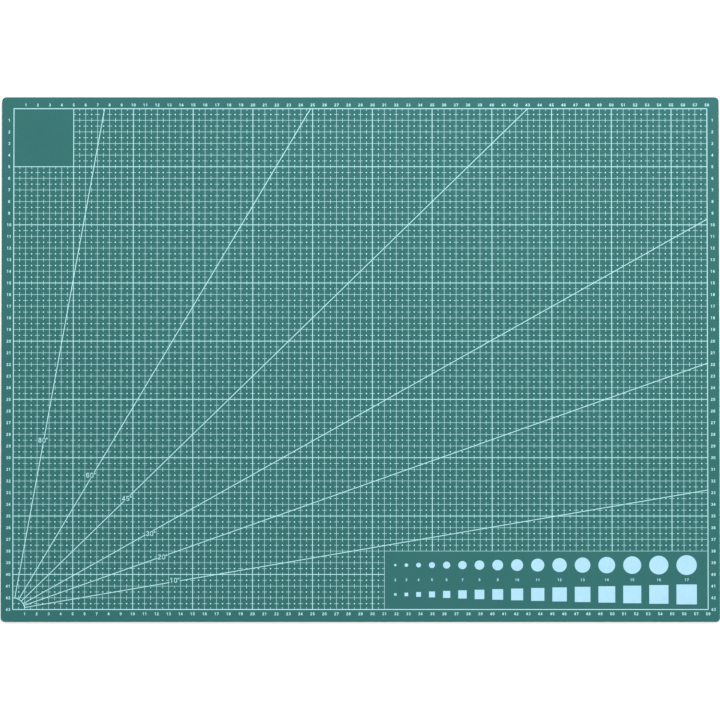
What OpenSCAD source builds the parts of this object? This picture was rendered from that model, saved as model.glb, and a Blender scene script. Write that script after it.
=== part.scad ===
// Self-healing cutting mat: a bonded stack of PVC sheets with a printed measuring face.
// Millimetres, +Z up. The origin is the centre of the underside, and +X runs along the
// long side, so the mat lies on z = 0 and its printed face looks up.

/* [Sheet] */
// Length of the mat along X
mat_w = 600; // [595:1:900]
// Depth of the mat along Y
mat_d = 450; // [445:1:700]
// Radius of the four cut corners
corner_r = 3.5; // [1:0.5:20]

/* [Layers] */
// Thickness of each of the two soft cutting plies, top and bottom
soft_ply_t = 0.9; // [0.4:0.1:2]
// Thickness of each of the two toughening plies
tough_ply_t = 0.3; // [0.1:0.1:1]
// Thickness of the rigid core ply
core_ply_t = 0.6; // [0.2:0.1:2]
// Thickness of the printed ink, which stands on the top ply
ink_t = 0.05; // [0.02:0.01:0.2]

/* [Grid] */
// Number of centimetre columns
columns = 58; // [50:1:58]
// Number of centimetre rows
rows = 43; // [35:1:43]
// Width of a centimetre line
thin_line_w = 0.3; // [0.15:0.05:0.5]
// Width of every fifth line
heavy_line_w = 0.6; // [0.3:0.05:1]
// Width of the border line round the grid
border_w = 0.7; // [0.3:0.05:1.5]
// Radius of the border line's outer corners
border_corner_r = 0.6; // [0.4:0.1:4]

/* [Protractor] */
// Radius of the quarter arc that the angle rays start from
arc_r = 10; // [5:0.5:10]
// Width of the arc and of the angle rays
ray_w = 0.6; // [0.2:0.05:1]
// Cap height of the angle labels
label_cap_h = 4.2; // [2:0.1:5]

/* [Size gauge] */
// Diameter, in whole millimetres, of the smallest circle and square
gauge_first = 2; // [1:1:4]
// Diameter, in whole millimetres, of the largest circle and square
gauge_last = 17; // [6:1:17]
// Clear space between two neighbouring gauge shapes
gauge_gap = 6.7; // [3:0.1:6.7]
// Cap height of the gauge numerals
gauge_cap_h = 2.3; // [1.5:0.1:3]

/* [Edge numerals] */
// Cap height of the numerals outside the border
edge_cap_h = 2.5; // [1.5:0.1:3]
// Distance from the border line to the middle of the numerals above the grid
top_numeral_gap = 3.2; // [2.5:0.1:4.5]
// Distance from the border line to the middle of the numerals below the grid
bottom_numeral_gap = 3.7; // [2.5:0.1:4.5]
// Distance from the border line to the middle of the numerals left of the grid
left_numeral_gap = 3.9; // [3:0.1:5]
// Distance from the border line to the middle of the numerals right of the grid
right_numeral_gap = 4.5; // [3:0.1:5]

/* [Hidden] */

cell = 10;                                  // one grid cell, a centimetre
heavy_step = 5;                             // cells from one heavy line to the next
grid_w = columns * cell;
grid_d = rows * cell;

// Heights of the layers' undersides, counted up from the table
z_lower_tough = soft_ply_t;
z_core = z_lower_tough + tough_ply_t;
z_upper_tough = z_core + core_ply_t;
z_top_soft = z_upper_tough + tough_ply_t;
z_ink = z_top_soft + soft_ply_t;

// The blank square in the upper left corner, and the gauge panel in the lower right one
blank_cells = 5;
panel_rows = 5;
panel_columns = 27;
panel_first_column = columns - panel_columns;
panel_first_row = rows - panel_rows;

// Angle rays in degrees, and the cell that each label stands in, counted from the
// protractor's corner: [angle, cells to the right, cells up]
RAYS = [[10, 13.5, 2.5], [20, 12.5, 4.5], [30, 11.5, 6.5], [45, 9.5, 9.5],
        [60, 6.5, 11.5], [80, 2.5, 14.5]];
label_stroke = 0.13;                        // stroke widths, as shares of the cap height
edge_stroke = 0.19;
gauge_stroke = 0.19;
label_clear = 0.4;                          // clear space round a label, where its ray stops

// The gauge's three rows, measured down from the panel's top line, and its left margin
gauge_circle_drop = 12;
gauge_numeral_drop = 24.6;
gauge_square_drop = 37.1;
gauge_left_margin = 8.1;

green = "#407976";
core_green = "#4d6663";
tough_green = "#2f5d5b";
ink_white = "#b8e8fc";
$fn = 48;                                   // round enough for true circles

// Position of grid column c, counted from the left, and of grid row r, counted from the top
function grid_x(c) = c * cell - grid_w / 2;
function grid_y(r) = grid_d / 2 - r * cell;

// Counts from a to b, with or without the multiples of the heavy step
function heavy_only(a, b) = [for (i = [a:b]) if (i % heavy_step == 0) i];
function thin_only(a, b) = [for (i = [a:b]) if (i % heavy_step != 0) i];

module centred_box(w, d) {
    square([w, d], center = true);
}

// ---------------------------------------------------------------- plies

module rounded_rect(w, d, r) {
    square([w - 2 * r, d], center = true);
    square([w, d - 2 * r], center = true);
    for (x = [-1, 1], y = [-1, 1])
        translate([x * (w / 2 - r), y * (d / 2 - r)]) circle(r = r);
}

module ply(z, t) {
    translate([0, 0, z]) linear_extrude(t) rounded_rect(mat_w, mat_d, corner_r);
}

module bottom_soft_ply() { color(green) ply(0, soft_ply_t); }
module lower_tough_ply() { color(tough_green) ply(z_lower_tough, tough_ply_t); }
module core_ply() { color(core_green) ply(z_core, core_ply_t); }
module upper_tough_ply() { color(tough_green) ply(z_upper_tough, tough_ply_t); }
module top_soft_ply() { color(green) ply(z_top_soft, soft_ply_t); }

// ---------------------------------------------------------------- lines

// Everything printed is a flat shape given the ink's thickness on top of the mat
module ink() {
    color(ink_white) translate([0, 0, z_ink]) linear_extrude(ink_t) children();
}

// A line along Y at column c from row r0 down to row r1, and one along X at row r
module line_y(c, r0, r1, w) {
    translate([grid_x(c) - w / 2, grid_y(r1)]) square([w, (r1 - r0) * cell]);
}

module line_x(r, c0, c1, w) {
    translate([grid_x(c0), grid_y(r) - w / 2]) square([(c1 - c0) * cell, w]);
}

// A line along Y starts below the blank square and ends at the gauge panel's top line
function first_row(c) = c < blank_cells ? blank_cells : 0;
function last_row(c) = c > panel_first_column ? panel_first_row : rows;
// A line along X starts right of the blank square and ends at the gauge panel's left line
function first_column(r) = r < blank_cells ? blank_cells : 0;
function last_column(r) = r > panel_first_row ? panel_first_column : columns;

// Outer and inner edges of the border line, which is centred on the grid's outline
module ink_border() {
    inner_r = border_corner_r - border_w;
    ink() difference() {
        rounded_rect(grid_w + border_w, grid_d + border_w, border_corner_r);
        if (inner_r > 0)
            rounded_rect(grid_w - border_w, grid_d - border_w, inner_r);
        else
            centred_box(grid_w - border_w, grid_d - border_w);
    }
}

module inside_border() {
    intersection() {
        centred_box(grid_w - border_w, grid_d - border_w);
        union() children();
    }
}

module ink_5cm_lines() {
    ink() inside_border() {
        for (c = heavy_only(1, columns - 1)) line_y(c, first_row(c), last_row(c), heavy_line_w);
        for (r = heavy_only(1, rows - 1)) line_x(r, first_column(r), last_column(r), heavy_line_w);
    }
}

module ink_1cm_lines_along_y() {
    ink() inside_border()
        for (c = thin_only(1, columns - 1)) line_y(c, first_row(c), last_row(c), thin_line_w);
}

module ink_1cm_lines_along_x() {
    ink() inside_border()
        for (r = thin_only(1, rows - 1)) line_x(r, first_column(r), last_column(r), thin_line_w);
}

// ---------------------------------------------------------------- protractor

corner_x = grid_x(0);
corner_y = grid_y(rows);

module at_corner() {
    translate([corner_x, corner_y]) children();
}

// Quarter ring about the grid's lower left corner
module ink_protractor_arc() {
    ink() at_corner() intersection() {
        difference() {
            circle(r = arc_r + ray_w / 2);
            circle(r = arc_r - ray_w / 2);
        }
        translate([border_w / 2, border_w / 2]) square(arc_r + ray_w);
    }
}

module ink_angle_rays() {
    ink() difference() {
        inside_border() at_corner()
            for (ray = RAYS) rotate(ray[0])
                translate([arc_r + ray_w / 2, -ray_w / 2]) square([grid_w + grid_d, ray_w]);
        for (ray = RAYS)
            translate([corner_x + ray[1] * cell, corner_y + ray[2] * cell])
                centred_box(label_cap_h * number_w(ray[0], true) + 2 * label_clear,
                            label_cap_h + 2 * label_clear);
    }
}

module ink_angle_labels() {
    ink() for (ray = RAYS)
        translate([corner_x + ray[1] * cell, corner_y + ray[2] * cell])
            number(ray[0], label_cap_h, label_stroke, degree = true);
}

// ---------------------------------------------------------------- numerals

// The numerals are drawn in a box one cap height tall, with strokes s wide. glyph_w is the
// width of a numeral and advance is the distance from one numeral to the next.
glyph_w = 0.62;
advance = 0.82;
degree_r = 0.17;                            // outer radius of the degree ring
upper_r = 0.275;                            // outer radius of the upper bowl of 2, 3 and 8
lower_r = glyph_w / 2;                      // outer radius of the lower bowl of 3, 5, 6, 8

module ring(r, s) {
    difference() {
        circle(r);
        circle(r - s);
    }
}

module upper_bowl(s) { translate([glyph_w / 2, 1 - upper_r]) ring(upper_r, s); }
module lower_bowl(s) { translate([glyph_w / 2, lower_r]) ring(lower_r, s); }

// Upright oval of the numeral 0
module oval(inset) {
    r = glyph_w / 2 - inset;
    for (y = [inset + r, 1 - inset - r]) translate([glyph_w / 2, y]) circle(r);
    translate([inset, inset + r]) square([2 * r, 1 - 2 * inset - 2 * r]);
}

module numeral_0(s) {
    difference() {
        oval(0);
        oval(s);
    }
}

module numeral_1(s) {
    right = glyph_w / 2 + 0.12;
    polygon([[right - s, 0], [right, 0], [right, 1], [right - s, 1],
             [0.04, 0.8], [0.04, 0.8 - s], [right - s, 1 - s]]);
}

module numeral_2(s) {
    difference() {
        upper_bowl(s);
        translate([0, 0.4]) square([glyph_w / 2, 1 - upper_r - 0.4]);
        translate([0, 0.3]) square([glyph_w - s, 0.3]);
    }
    polygon([[0, 0], [glyph_w, 0], [glyph_w, s], [1.35 * s, s],
             [glyph_w / 2 + upper_r, 0.62], [glyph_w / 2 + upper_r - s, 0.72], [0, s]]);
}

module numeral_3(s) {
    difference() {
        union() {
            upper_bowl(s);
            lower_bowl(s);
        }
        translate([-glyph_w / 2, lower_r]) square([glyph_w, 1 - upper_r - lower_r]);
    }
}

module numeral_4(s) {
    bar_y = 0.2;
    stem = glyph_w * 0.82;
    difference() {
        polygon([[stem - s, 0], [stem, 0], [stem, bar_y], [glyph_w, bar_y],
                 [glyph_w, bar_y + s], [stem, bar_y + s], [stem, 1], [stem - s, 1],
                 [-0.02, bar_y + s], [-0.02, bar_y], [stem - s, bar_y]]);
        polygon([[stem - s, bar_y + s], [stem - s, 1 - 1.9 * s], [1.1 * s, bar_y + s]]);
    }
}

module numeral_5(s) {
    difference() {
        lower_bowl(s);
        translate([-glyph_w / 2, lower_r]) square([glyph_w, lower_r]);
    }
    translate([0.04, 1 - s]) square([glyph_w - 0.08, s]);
    translate([0.04, 2 * lower_r - s]) square([s, 1 - 2 * lower_r + s]);
    translate([0.04, 2 * lower_r - s]) square([glyph_w / 2 - 0.04, s]);
}

module numeral_6(s) {
    difference() {
        numeral_0(s);
        translate([glyph_w / 2, lower_r]) square([glyph_w, 1 - 2 * lower_r]);
    }
    lower_bowl(s);
}

module numeral_7(s) {
    polygon([[0.1, 0], [0.1 + 1.1 * s, 0], [glyph_w, 1 - s], [glyph_w, 1],
             [0, 1], [0, 1 - s], [glyph_w - 1.15 * s, 1 - s]]);
}

module numeral_8(s) {
    upper_bowl(s);
    lower_bowl(s);
}

module numeral_9(s) {
    translate([glyph_w, 1]) rotate(180) numeral_6(s);
}

module numeral(d, s) {
    if (d == 0) numeral_0(s);
    if (d == 1) numeral_1(s);
    if (d == 2) numeral_2(s);
    if (d == 3) numeral_3(s);
    if (d == 4) numeral_4(s);
    if (d == 5) numeral_5(s);
    if (d == 6) numeral_6(s);
    if (d == 7) numeral_7(s);
    if (d == 8) numeral_8(s);
    if (d == 9) numeral_9(s);
}

// Width, in cap heights, of a whole number of one or two numerals
function number_w(n, degree) =
    (n < 10 ? 0 : advance) + glyph_w + (degree ? 2 * degree_r + 0.1 : 0);

// A whole number of one or two numerals, centred on the origin, with an optional degree ring
module number(n, cap_h, s, degree = false) {
    numerals = n < 10 ? [n] : [floor(n / 10), n % 10];
    width = number_w(n, degree);
    scale(cap_h) translate([-width / 2, -0.5]) {
        for (i = [0:len(numerals) - 1]) translate([i * advance, 0]) numeral(numerals[i], s);
        if (degree) translate([width - degree_r, 1 - degree_r]) ring(degree_r, s * 0.8);
    }
}

module edge_number(n) { number(n, edge_cap_h, edge_stroke); }

module column_numbers(y) {
    for (c = [1:columns]) translate([grid_x(c), y]) edge_number(c);
}

module row_numbers(x) {
    for (r = [1:rows]) translate([x, grid_y(r)]) edge_number(r);
}

module ink_numerals_top() { ink() column_numbers(grid_d / 2 + top_numeral_gap); }
module ink_numerals_bottom() { ink() column_numbers(-grid_d / 2 - bottom_numeral_gap); }
module ink_numerals_left() { ink() row_numbers(-grid_w / 2 - left_numeral_gap); }
module ink_numerals_right() { ink() row_numbers(grid_w / 2 + right_numeral_gap); }

// ---------------------------------------------------------------- size gauge

// Distance from the panel's left line to the middle of the shape that is n across: the
// shapes before it are one, two, three... wide, with one clear gap after each
function shapes_before(n) = n == gauge_first ? 0 : shapes_before(n - 1) + n - 1 + gauge_gap;
function gauge_x(n) = grid_x(panel_first_column) + gauge_left_margin + shapes_before(n) + n / 2;

module along_gauge(drop) {
    for (size = [gauge_first:gauge_last])
        let ($size = size)
            translate([gauge_x(size), grid_y(panel_first_row) - drop]) children();
}

module ink_gauge_circles() {
    ink() along_gauge(gauge_circle_drop) circle(d = $size);
}

module ink_gauge_squares() {
    ink() along_gauge(gauge_square_drop) square($size, center = true);
}

module ink_gauge_numerals() {
    ink() along_gauge(gauge_numeral_drop) number($size, gauge_cap_h, gauge_stroke);
}

// ---------------------------------------------------------------- assembly

bottom_soft_ply();
lower_tough_ply();
core_ply();
upper_tough_ply();
top_soft_ply();
ink_border();
ink_5cm_lines();
ink_1cm_lines_along_y();
ink_1cm_lines_along_x();
ink_protractor_arc();
ink_angle_rays();
ink_angle_labels();
ink_numerals_top();
ink_numerals_bottom();
ink_numerals_left();
ink_numerals_right();
ink_gauge_circles();
ink_gauge_squares();
ink_gauge_numerals();
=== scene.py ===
"""Self-healing cutting mat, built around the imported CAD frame.

Metres, +Z up. The origin is under the middle of the mat, and the printed face looks up.
"""
import math

import bpy
import numpy as np
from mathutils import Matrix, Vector


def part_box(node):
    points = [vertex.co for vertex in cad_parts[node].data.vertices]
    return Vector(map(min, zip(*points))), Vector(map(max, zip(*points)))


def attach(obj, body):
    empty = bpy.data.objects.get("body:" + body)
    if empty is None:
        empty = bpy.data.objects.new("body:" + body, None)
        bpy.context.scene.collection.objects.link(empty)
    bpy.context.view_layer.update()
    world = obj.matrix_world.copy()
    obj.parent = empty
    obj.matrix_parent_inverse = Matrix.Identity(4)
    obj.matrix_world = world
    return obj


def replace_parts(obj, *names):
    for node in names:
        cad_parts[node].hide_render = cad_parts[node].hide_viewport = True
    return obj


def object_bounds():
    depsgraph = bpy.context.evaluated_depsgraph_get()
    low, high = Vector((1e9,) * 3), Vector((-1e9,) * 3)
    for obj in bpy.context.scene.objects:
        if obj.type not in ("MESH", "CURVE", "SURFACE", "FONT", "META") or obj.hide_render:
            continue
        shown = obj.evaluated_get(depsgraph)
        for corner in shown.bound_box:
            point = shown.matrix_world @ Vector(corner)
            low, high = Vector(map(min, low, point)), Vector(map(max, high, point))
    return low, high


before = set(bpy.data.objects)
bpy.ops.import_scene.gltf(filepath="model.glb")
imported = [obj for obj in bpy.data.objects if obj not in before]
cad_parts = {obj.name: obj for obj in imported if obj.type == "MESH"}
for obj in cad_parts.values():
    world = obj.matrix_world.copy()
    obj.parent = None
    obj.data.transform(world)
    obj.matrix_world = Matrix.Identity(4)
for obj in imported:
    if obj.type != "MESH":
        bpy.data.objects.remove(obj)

MM = 0.001
cad_low, cad_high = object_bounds()

# ---------------------------------------------------------------- measures of the print

CELL = 10 * MM                      # one grid cell, a centimetre
HEAVY_STEP = 5                      # cells from one heavy line to the next
THIN_LINE = 0.3 * MM
HEAVY_LINE = 0.6 * MM
BORDER_LINE = 0.7 * MM
TICK_REACH = 2 * MM                 # a half-centimetre tick's reach on each side of its line
TICK_WIDTH = 0.35 * MM
DOT_RADIUS = 0.62 * MM
DOT_SIDES = 16
BLANK_CELLS = 5                     # the blank square in the upper left corner
PANEL_ROWS = 5                      # the gauge panel in the lower right corner
PANEL_COLUMNS = 27
LABEL_CELLS = ((13, 2), (12, 4), (11, 6), (9, 9), (6, 11), (2, 14))  # (cells right, cells up)
INK_SHARE = 0.92                    # thickness of the lines' ink, as a share of the rays' ink
PLACES = 7                          # decimals of a metre that tell two edges apart

border_low, border_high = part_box("ink_border")
GRID_W = border_high.x - border_low.x - BORDER_LINE
GRID_D = border_high.y - border_low.y - BORDER_LINE
COLUMNS = round(GRID_W / CELL)
ROWS = round(GRID_D / CELL)
INK_LOW = border_low.z
INK_HIGH = border_low.z + INK_SHARE * (border_high.z - border_low.z)
PANEL_COLUMN = COLUMNS - PANEL_COLUMNS
PANEL_ROW = ROWS - PANEL_ROWS


def grid_x(column):
    return column * CELL - GRID_W / 2


def grid_y(row):
    return GRID_D / 2 - row * CELL


def is_gridded(column, row):
    """Whether the cell right of a column line and below a row line holds the printed grid."""
    inside = 0 <= column < COLUMNS and 0 <= row < ROWS
    blank = column < BLANK_CELLS and row < BLANK_CELLS
    panel = column >= PANEL_COLUMN and row >= PANEL_ROW
    return inside and not blank and not panel


def is_label_cell(column, row):
    return (column, ROWS - 1 - row) in LABEL_CELLS


def is_arc_cell(column, row):
    return column == 0 and row == ROWS - 1


# ---------------------------------------------------------------- mesh helpers


def new_piece(name, verts, faces, materials, face_slots=None):
    """A mesh object that rides on the mat's one body."""
    mesh = bpy.data.meshes.new(name)
    mesh.from_pydata(verts, [], faces)
    for material in materials:
        mesh.materials.append(material)
    if face_slots is not None:
        mesh.polygons.foreach_set("material_index", face_slots)
    mesh.validate()
    mesh.update()
    piece = bpy.data.objects.new(name, mesh)
    bpy.context.scene.collection.objects.link(piece)
    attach(piece, "root")
    return piece


def box_part(verts, faces, x0, x1, y0, y1, z0, z1):
    """Adds one closed box to a list of corners and a list of faces."""
    first = len(verts)
    verts += [(x, y, z) for z in (z0, z1) for x, y in ((x0, y0), (x1, y0), (x1, y1), (x0, y1))]
    sides = [(i, (i + 1) % 4, 4 + (i + 1) % 4, 4 + i) for i in range(4)]
    for face in [(3, 2, 1, 0), (4, 5, 6, 7)] + sides:
        faces.append(tuple(first + i for i in face))


def disc_part(verts, faces, x, y, radius, sides, z0, z1):
    """Adds one closed upright disc."""
    first = len(verts)
    for z in (z0, z1):
        for i in range(sides):
            turn = 2 * math.pi * i / sides
            verts.append((x + radius * math.cos(turn), y + radius * math.sin(turn), z))
    faces.append(tuple(first + i for i in reversed(range(sides))))
    faces.append(tuple(first + sides + i for i in range(sides)))
    for i in range(sides):
        j = (i + 1) % sides
        faces.append((first + i, first + j, first + sides + j, first + sides + i))


def inked_patches(rects, holes, xs, ys):
    """Which patches between the cuts at xs and ys are in a rectangle and in no hole.

    One empty row and one empty column follow the last ones. They also answer for index -1,
    so each patch has neighbours all round.
    """
    column = {v: i for i, v in enumerate(xs)}
    row = {v: i for i, v in enumerate(ys)}
    inked = np.zeros((len(xs) + 1, len(ys) + 1), bool)
    for batch, value in ((rects, True), (holes, False)):
        for x0, x1, y0, y1 in batch:
            across = slice(column[round(x0, PLACES)], column[round(x1, PLACES)])
            along = slice(row[round(y0, PLACES)], row[round(y1, PLACES)])
            inked[across, along] = value
    return inked


def plate_of(rects, holes, z0, z1):
    """Corners and faces of one flat plate: the joined rectangles less the rectangles in holes."""
    xs = sorted({round(v, PLACES) for rect in rects + holes for v in rect[:2]})
    ys = sorted({round(v, PLACES) for rect in rects + holes for v in rect[2:]})
    inked = inked_patches(rects, holes, xs, ys)
    verts, faces, known = [], [], {}

    def corner(i, j, top):
        key = (i, j, top)
        if key not in known:
            known[key] = len(verts)
            verts.append((xs[i], ys[j], z1 if top else z0))
        return known[key]

    def wall(i0, j0, i1, j1):
        faces.append((corner(i0, j0, 0), corner(i1, j1, 0), corner(i1, j1, 1), corner(i0, j0, 1)))

    for i, j in np.argwhere(inked):
        around = ((i, j), (i + 1, j), (i + 1, j + 1), (i, j + 1))
        faces.append(tuple(corner(a, b, 1) for a, b in around))
        faces.append(tuple(corner(a, b, 0) for a, b in reversed(around)))
        if not inked[i, j - 1]:
            wall(i, j, i + 1, j)
        if not inked[i + 1, j]:
            wall(i + 1, j, i + 1, j + 1)
        if not inked[i, j + 1]:
            wall(i + 1, j + 1, i, j + 1)
        if not inked[i - 1, j]:
            wall(i, j + 1, i, j)
    return verts, faces


# ---------------------------------------------------------------- node helpers


class Nodes:
    """A short way to write a material's node tree."""

    def __init__(self, name):
        self.material = bpy.data.materials.new(name)
        self.material.use_nodes = True
        self.tree = self.material.node_tree
        self.shader = self.tree.nodes["Principled BSDF"]
        self.place = self.add("ShaderNodeTexCoord").outputs["Object"]

    def add(self, kind, **values):
        node = self.tree.nodes.new(kind)
        for key, value in values.items():
            setattr(node, key, value)
        return node

    def link(self, source, target):
        self.tree.links.new(source, target)

    def noise(self, scale, detail=2.0, roughness=0.5, stretch=(1, 1, 1)):
        """Noise of the given features per metre, from 0 to 1."""
        mapping = self.add("ShaderNodeMapping")
        mapping.inputs["Scale"].default_value = stretch
        self.link(self.place, mapping.inputs["Vector"])
        noise = self.add("ShaderNodeTexNoise")
        noise.inputs["Scale"].default_value = scale
        noise.inputs["Detail"].default_value = detail
        noise.inputs["Roughness"].default_value = roughness
        self.link(mapping.outputs["Vector"], noise.inputs["Vector"])
        return noise.outputs["Fac"]

    def pebbles(self, scale):
        """Rounded grains, so many per metre: 0 in their middles, rising to the gaps."""
        grains = self.add("ShaderNodeTexVoronoi", feature="SMOOTH_F1")
        grains.inputs["Scale"].default_value = scale
        grains.inputs["Smoothness"].default_value = 0.35
        self.link(self.place, grains.inputs["Vector"])
        return self.spread(grains.outputs["Distance"], 0.1, 0.75, 0, 1)

    def spread(self, value, low, high, to_low, to_high):
        """Maps low..high to to_low..to_high, and holds the ends."""
        node = self.add("ShaderNodeMapRange")
        node.clamp = True
        for key, number in (("From Min", low), ("From Max", high),
                            ("To Min", to_low), ("To Max", to_high)):
            node.inputs[key].default_value = number
        self.link(value, node.inputs["Value"])
        return node.outputs["Result"]

    def mix(self, factor, first, second, blend="MIX"):
        """Mixes two colours. Each is a colour or another node's output."""
        node = self.add("ShaderNodeMix", data_type="RGBA", blend_type=blend)
        sockets = {s.identifier: s for s in node.inputs}
        for key, value in (("Factor_Float", factor), ("A_Color", first), ("B_Color", second)):
            if isinstance(value, bpy.types.NodeSocket):
                self.link(value, sockets[key])
            elif key == "Factor_Float":
                sockets[key].default_value = value
            else:
                sockets[key].default_value = (*value, 1)
        return next(s for s in node.outputs if s.identifier == "Result_Color")

    def bump(self, height, distance, strength, under=None):
        node = self.add("ShaderNodeBump")
        node.inputs["Distance"].default_value = distance
        node.inputs["Strength"].default_value = strength
        self.link(height, node.inputs["Height"])
        if under is not None:
            self.link(under, node.inputs["Normal"])
        return node.outputs["Normal"]

    def finish(self, colour, roughness, normal, specular):
        self.link(colour, self.shader.inputs["Base Color"])
        self.link(roughness, self.shader.inputs["Roughness"])
        self.link(normal, self.shader.inputs["Normal"])
        self.shader.inputs["Specular IOR Level"].default_value = specular
        return self.material


def linear(red, green, blue):
    """A colour given as 0..255 screen values, as the linear values that shaders use."""
    return tuple(
        c / 255 / 12.92 if c <= 10 else ((c / 255 + 0.055) / 1.055) ** 2.4
        for c in (red, green, blue)
    )


def shade(colour, factor):
    return tuple(c * factor for c in colour)


# ---------------------------------------------------------------- materials

MAT_GREEN = linear(24, 83, 81)
GAUGE_BLUE = linear(140, 180, 197)
LINE_BLUE = linear(147, 191, 195)
GRAINS = 2100                       # grains of the printed face per metre
FACE_SPECULAR = 0.24
EDGE_SPECULAR = 0.3


def skin_material():
    """The faces: matte PVC with a fine leathery grain, painted shade in the grain's hollows and
    faint clouds of colour.
    """
    n = Nodes("soft_pvc_face")
    clouds = n.spread(n.noise(7, 3, 0.55), 0.35, 0.65, 0, 1)
    blotches = n.spread(n.noise(60, 4, 0.6), 0.3, 0.7, 0, 0.5)
    speckle = n.spread(n.noise(900, 3, 0.65), 0.35, 0.65, 0, 0.5)
    grains = n.pebbles(GRAINS)
    colour = n.mix(clouds, shade(MAT_GREEN, 0.96), shade(MAT_GREEN, 1.06))
    colour = n.mix(blotches, colour, shade(MAT_GREEN, 0.93))
    colour = n.mix(speckle, colour, shade(MAT_GREEN, 1.14))
    # Painted shade: the colour darkens towards 0.8 in the hollows between the grains, which the
    # bump below sinks.
    colour = n.mix(n.spread(grains, 0.4, 1, 0, 0.6), colour, shade(MAT_GREEN, 0.8))
    roughness = n.spread(n.noise(45, 4, 0.6), 0.3, 0.7, 0.62, 0.72)
    swell = n.bump(n.noise(25, 2, 0.5), 0.06 * MM, 0.5)
    fine = n.bump(n.noise(5200, 3, 0.6), 0.02 * MM, 0.5, swell)
    return n.finish(colour, roughness, n.bump(grains, -0.07 * MM, 0.8, fine), FACE_SPECULAR)


def cut_edge_material(name, colour, rib_scale):
    """A die-cut wall: the blade drags fine upright ribs through the sheet, with painted shade in
    their grooves and a painted highlight on their ridges.
    """
    n = Nodes(name)
    upright = (1, 1, 0.06)
    ribs = n.noise(rib_scale, 3, 0.6, upright)
    body = n.noise(320, 3, 0.6)
    # Painted shade and highlight: the colour runs from 0.72 in the ribs' grooves to 1.15 on their
    # raised ridges.
    tone = n.mix(n.spread(ribs, 0.36, 0.64, 0, 1), shade(colour, 0.72), shade(colour, 1.15))
    tone = n.mix(n.spread(body, 0.35, 0.65, 0, 0.4), tone, shade(colour, 0.85))
    roughness = n.spread(ribs, 0.3, 0.7, 0.5, 0.68)
    return n.finish(tone, roughness, n.bump(ribs, 0.12 * MM, 0.8), EDGE_SPECULAR)


def ink_material(name, colour):
    """Screen-printed ink: nearly even, thinner here and there, with painted shade in the grain's
    hollows.
    """
    n = Nodes(name)
    cover = n.spread(n.noise(90, 4, 0.6), 0.3, 0.7, 0, 1)
    grains = n.pebbles(GRAINS)
    pits = n.spread(n.noise(1500, 3, 0.6), 0.25, 0.5, 0.4, 0)
    tone = n.mix(cover, shade(colour, 0.96), shade(colour, 1.03))
    tone = n.mix(pits, tone, shade(colour, 0.8))
    # Painted shade: the ink darkens towards 0.78 in the hollows between the grains, which the bump
    # below sinks.
    tone = n.mix(n.spread(grains, 0.5, 1, 0, 0.45), tone, shade(colour, 0.78))
    roughness = n.spread(n.noise(200, 3, 0.6), 0.3, 0.7, 0.58, 0.68)
    return n.finish(tone, roughness, n.bump(grains, -0.04 * MM, 0.7), FACE_SPECULAR)


def floor_material():
    """Matte white, so evenly lit that the mat's contact shadow is nearly all that shows."""
    n = Nodes("floor_white")
    tone = n.mix(n.spread(n.noise(3, 2), 0.3, 0.7, 0, 1), (0.90, 0.90, 0.90), (0.92, 0.92, 0.92))
    roughness = n.spread(n.noise(8, 2), 0.3, 0.7, 0.85, 0.95)
    return n.finish(tone, roughness, n.bump(n.noise(400, 2), 0.02 * MM, 0.1), 0.0)


SKIN = skin_material()
# Painted shade: the soft plies' cut walls take the face green darkened to 0.8.
SOFT_EDGE_PAINTED_SHADE = cut_edge_material("soft_pvc_edge", shade(MAT_GREEN, 0.8), 900)
TOUGH_EDGE = cut_edge_material("tough_pvc_edge", shade(MAT_GREEN, 0.5), 1500)
CORE_EDGE = cut_edge_material("core_pvc_edge", linear(62, 85, 83), 1200)
GAUGE_INK = ink_material("gauge_ink", GAUGE_BLUE)
LINE_INK = ink_material("line_ink", LINE_BLUE)

# ---------------------------------------------------------------- the five plies

CORNER_STEPS = 20                   # segments of each rounded corner
CORNER_RADIUS = 3.5 * MM
EASE_STEPS = 5                      # segments of a soft ply's rounded outer edge
EASE_RADIUS = 0.22 * MM
BULGE = 0.05 * MM                   # how far a soft ply's cut wall bulges out
# The bulged wall as pairs: inset as a share of the bulge, height as a share of the wall.
BULGED_WALL = ((1.0, 0.0), (0.3, 0.2), (0.0, 0.45), (0.2, 0.62))
TOUGH_INSET = 0.1 * MM              # how far the toughening plies stand back from the outline
CORE_INSET = 0.04 * MM              # how far the core does
SHARP_ANGLE = math.radians(40)


def outline(low, high, inset):
    """Points round the mat, anticlockwise, moved in by inset."""
    radius = CORNER_RADIUS - inset
    points = []
    for quarter, (sx, sy) in enumerate(((1, 1), (-1, 1), (-1, -1), (1, -1))):
        centre_x = (high.x if sx > 0 else low.x) - sx * CORNER_RADIUS
        centre_y = (high.y if sy > 0 else low.y) - sy * CORNER_RADIUS
        for step in range(CORNER_STEPS + 1):
            turn = (quarter + step / CORNER_STEPS) * math.pi / 2
            points.append((centre_x + radius * math.cos(turn), centre_y + radius * math.sin(turn)))
    return points


def ply(name, node, profile, face_material, edge_material):
    """A sheet whose wall follows profile, pairs of inset and height, from the bottom up."""
    low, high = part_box(node)
    verts, faces = [], []
    for inset, height in profile:
        verts += [(x, y, height) for x, y in outline(low, high, inset)]
    around = 4 * (CORNER_STEPS + 1)
    faces.append(tuple(reversed(range(around))))
    faces.append(tuple(range(len(verts) - around, len(verts))))
    for ring in range(len(profile) - 1):
        for i in range(around):
            j = (i + 1) % around
            base = ring * around
            faces.append((base + i, base + j, base + around + j, base + around + i))
    slots = [0, 0] + [1] * (len(faces) - 2)
    piece = new_piece(name, verts, faces, [face_material, edge_material], slots)
    for face in piece.data.polygons:
        face.use_smooth = face.material_index == 1
    piece.data.set_sharp_from_angle(angle=SHARP_ANGLE)
    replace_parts(piece, node)
    return piece


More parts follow.
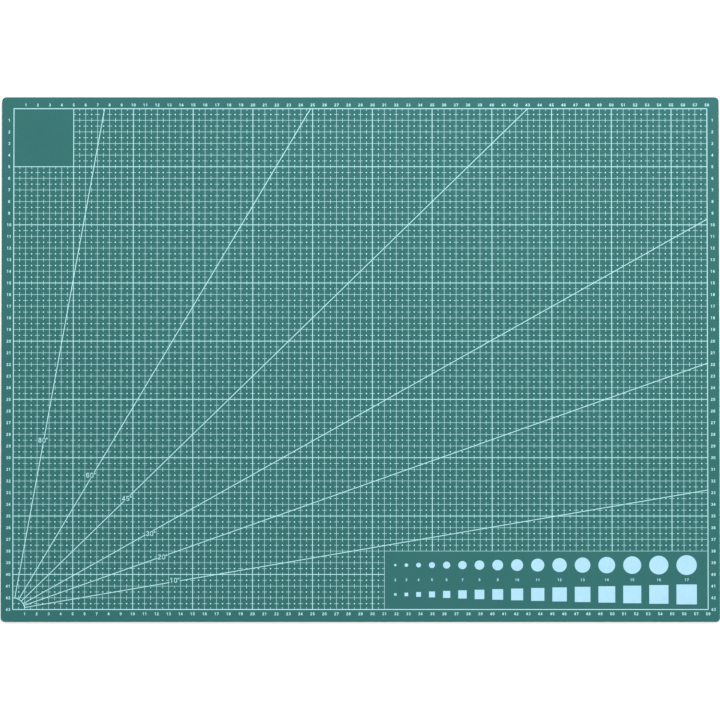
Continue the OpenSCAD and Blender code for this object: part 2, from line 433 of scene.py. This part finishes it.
def eased_profile(node, eased_top):
    """The wall of a soft ply: a slight bulge, a rounded outer edge and a straight inner one."""
    low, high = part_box(node)
    ease_start = high.z - EASE_RADIUS
    wall_height = ease_start - low.z
    rows = [(BULGE * inset, low.z + height * wall_height) for inset, height in BULGED_WALL]
    ease_inset = rows[-1][0]
    for i in range(EASE_STEPS + 1):
        turn = i / EASE_STEPS * math.pi / 2
        inset = ease_inset + EASE_RADIUS * (1 - math.cos(turn))
        rows.append((inset, ease_start + EASE_RADIUS * math.sin(turn)))
    if eased_top:
        return rows
    return [(inset, low.z + high.z - height) for inset, height in reversed(rows)]


def straight_profile(node, inset):
    low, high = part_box(node)
    return [(inset, low.z), (inset, high.z)]


def make_plies():
    for name, node, eased_top in (("top_sheet", "top_soft_ply", True),
                                  ("bottom_sheet", "bottom_soft_ply", False)):
        ply(name, node, eased_profile(node, eased_top), SKIN, SOFT_EDGE_PAINTED_SHADE)
    for name, node in (("upper_tough_sheet", "upper_tough_ply"),
                       ("lower_tough_sheet", "lower_tough_ply")):
        ply(name, node, straight_profile(node, TOUGH_INSET), TOUGH_EDGE, TOUGH_EDGE)
    ply("core_sheet", "core_ply", straight_profile("core_ply", CORE_INSET),
        CORE_EDGE, CORE_EDGE)


# ---------------------------------------------------------------- the printed grid


def line_rects(is_heavy):
    """Rectangles of the lines inside the border, x0, x1, y0, y1."""
    half = (HEAVY_LINE if is_heavy else THIN_LINE) / 2
    edge_x, edge_y = (GRID_W - BORDER_LINE) / 2, (GRID_D - BORDER_LINE) / 2
    rects = []
    for c in range(1, COLUMNS):
        if (c % HEAVY_STEP == 0) == is_heavy:
            top = grid_y(BLANK_CELLS) if c < BLANK_CELLS else edge_y
            bottom = grid_y(PANEL_ROW) if c > PANEL_COLUMN else -edge_y
            rects.append((grid_x(c) - half, grid_x(c) + half, bottom, top))
    for r in range(1, ROWS):
        if (r % HEAVY_STEP == 0) == is_heavy:
            left = grid_x(BLANK_CELLS) if r < BLANK_CELLS else -edge_x
            right = grid_x(PANEL_COLUMN) if r > PANEL_ROW else edge_x
            rects.append((left, right, grid_y(r) - half, grid_y(r) + half))
    return rects


def line_half(index, last):
    """Half the width of the line with that index, counted from the border."""
    if index in (0, last):
        return BORDER_LINE / 2
    return (HEAVY_LINE if index % HEAVY_STEP == 0 else THIN_LINE) / 2


def takes_tick(column, row, from_inner_line):
    """A tick points into each gridded cell, but not into a label or into the quarter arc."""
    if not is_gridded(column, row) or is_label_cell(column, row):
        return False
    return not (is_arc_cell(column, row) and from_inner_line)


def make_ticks():
    verts, faces = [], []
    half = TICK_WIDTH / 2

    def add(x0, x1, y0, y1):
        box_part(verts, faces, x0, x1, y0, y1, INK_LOW, INK_HIGH)

    for c in range(COLUMNS + 1):
        start = line_half(c, COLUMNS)
        for r in range(ROWS):
            x, y = grid_x(c), grid_y(r + 0.5)
            if takes_tick(c, r, c > 0):
                add(x + start, x + TICK_REACH, y - half, y + half)
            if takes_tick(c - 1, r, c > 0):
                add(x - TICK_REACH, x - start, y - half, y + half)
    for r in range(ROWS + 1):
        start = line_half(r, ROWS)
        for c in range(COLUMNS):
            x, y = grid_x(c + 0.5), grid_y(r)
            if takes_tick(c, r, r < ROWS):
                add(x - half, x + half, y - TICK_REACH, y - start)
            if takes_tick(c, r - 1, r < ROWS):
                add(x - half, x + half, y + start, y + TICK_REACH)
    new_piece("half_cm_ticks", verts, faces, [LINE_INK])


def make_dots():
    verts, faces = [], []
    for c in range(COLUMNS):
        for r in range(ROWS):
            if is_gridded(c, r) and not is_label_cell(c, r):
                disc_part(verts, faces, grid_x(c + 0.5), grid_y(r + 0.5),
                          DOT_RADIUS, DOT_SIDES, INK_LOW, INK_HIGH)
    new_piece("half_cm_dots", verts, faces, [LINE_INK])


def make_lines():
    heavy, thin = line_rects(True), line_rects(False)
    verts, faces = plate_of(heavy, [], INK_LOW, INK_HIGH)
    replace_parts(new_piece("lines_5cm", verts, faces, [LINE_INK]), "ink_5cm_lines")
    verts, faces = plate_of(thin, heavy, INK_LOW, INK_HIGH)
    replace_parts(new_piece("lines_1cm", verts, faces, [LINE_INK]),
                "ink_1cm_lines_along_x", "ink_1cm_lines_along_y")


def ink_the_cad_nodes():
    """The border, rays, arc, labels, numerals and gauge keep their CAD shapes."""
    for name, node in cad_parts.items():
        if name.startswith("ink_"):
            node.data.materials.clear()
            node.data.materials.append(GAUGE_INK if "gauge" in name else LINE_INK)


# ---------------------------------------------------------------- floor, light and camera

FLOOR_HALF = 15.0                   # half the side of the square floor
WORLD_STRENGTH = 1.18
LIGHTS = (                          # name, place, size and power; each looks at the mat's middle
    ("key", (0.2, 0.9, 1.0), (1.0, 1.0), 19),
    ("front_fill", (0.6, -1.4, 1.0), (1.6, 1.0), 7),
)
CAMERA_TILT = math.radians(13.3)    # off the vertical, towards the mat's lower edge
CAMERA_LENS = 1500                  # in millimetres, like the sensor
CAMERA_SENSOR = 36
CAMERA_CLIP_END = 100
CAMERA_VIEW = 0.6016                # width seen at the mat
CAMERA_AIM = Vector((-0.36 * MM, -1.2 * MM, cad_high.z))


def make_floor():
    corners = [(x * FLOOR_HALF, y * FLOOR_HALF, 0) for x, y in ((-1, -1), (1, -1), (1, 1), (-1, 1))]
    mesh = bpy.data.meshes.new("floor")
    mesh.from_pydata(corners, [], [(0, 1, 2, 3)])
    mesh.materials.append(floor_material())
    floor = bpy.data.objects.new("floor", mesh)
    bpy.context.scene.collection.objects.link(floor)


def area_light(name, place, size, power):
    data = bpy.data.lights.new(name, "AREA")
    data.shape = "RECTANGLE"
    data.size, data.size_y = size
    data.energy = power
    light = bpy.data.objects.new(name, data)
    light.location = place
    light.rotation_euler = (-Vector(place)).to_track_quat("-Z", "Y").to_euler()
    light.visible_camera = False
    bpy.context.scene.collection.objects.link(light)


def make_light():
    world = bpy.data.worlds.new("studio")
    world.use_nodes = True
    background = world.node_tree.nodes["Background"]
    background.inputs["Color"].default_value = (1, 1, 1, 1)
    background.inputs["Strength"].default_value = WORLD_STRENGTH
    bpy.context.scene.world = world
    for name, place, size, power in LIGHTS:
        area_light(name, place, size, power)
    bpy.context.scene.view_settings.view_transform = "Standard"


def make_camera():
    """Nearly straight down, from far off with a long lens."""
    data = bpy.data.cameras.new("camera")
    data.lens = CAMERA_LENS
    data.sensor_width = CAMERA_SENSOR
    data.clip_end = CAMERA_CLIP_END
    distance = CAMERA_LENS / CAMERA_SENSOR * CAMERA_VIEW
    back = Vector((0, -math.sin(CAMERA_TILT), math.cos(CAMERA_TILT)))
    camera = bpy.data.objects.new("camera", data)
    camera.location = CAMERA_AIM + distance * back
    camera.rotation_euler = (CAMERA_TILT, 0, 0)
    bpy.context.scene.collection.objects.link(camera)
    bpy.context.scene.camera = camera


make_camera()
make_light()
make_floor()
make_plies()
make_lines()
make_ticks()
make_dots()
ink_the_cad_nodes()
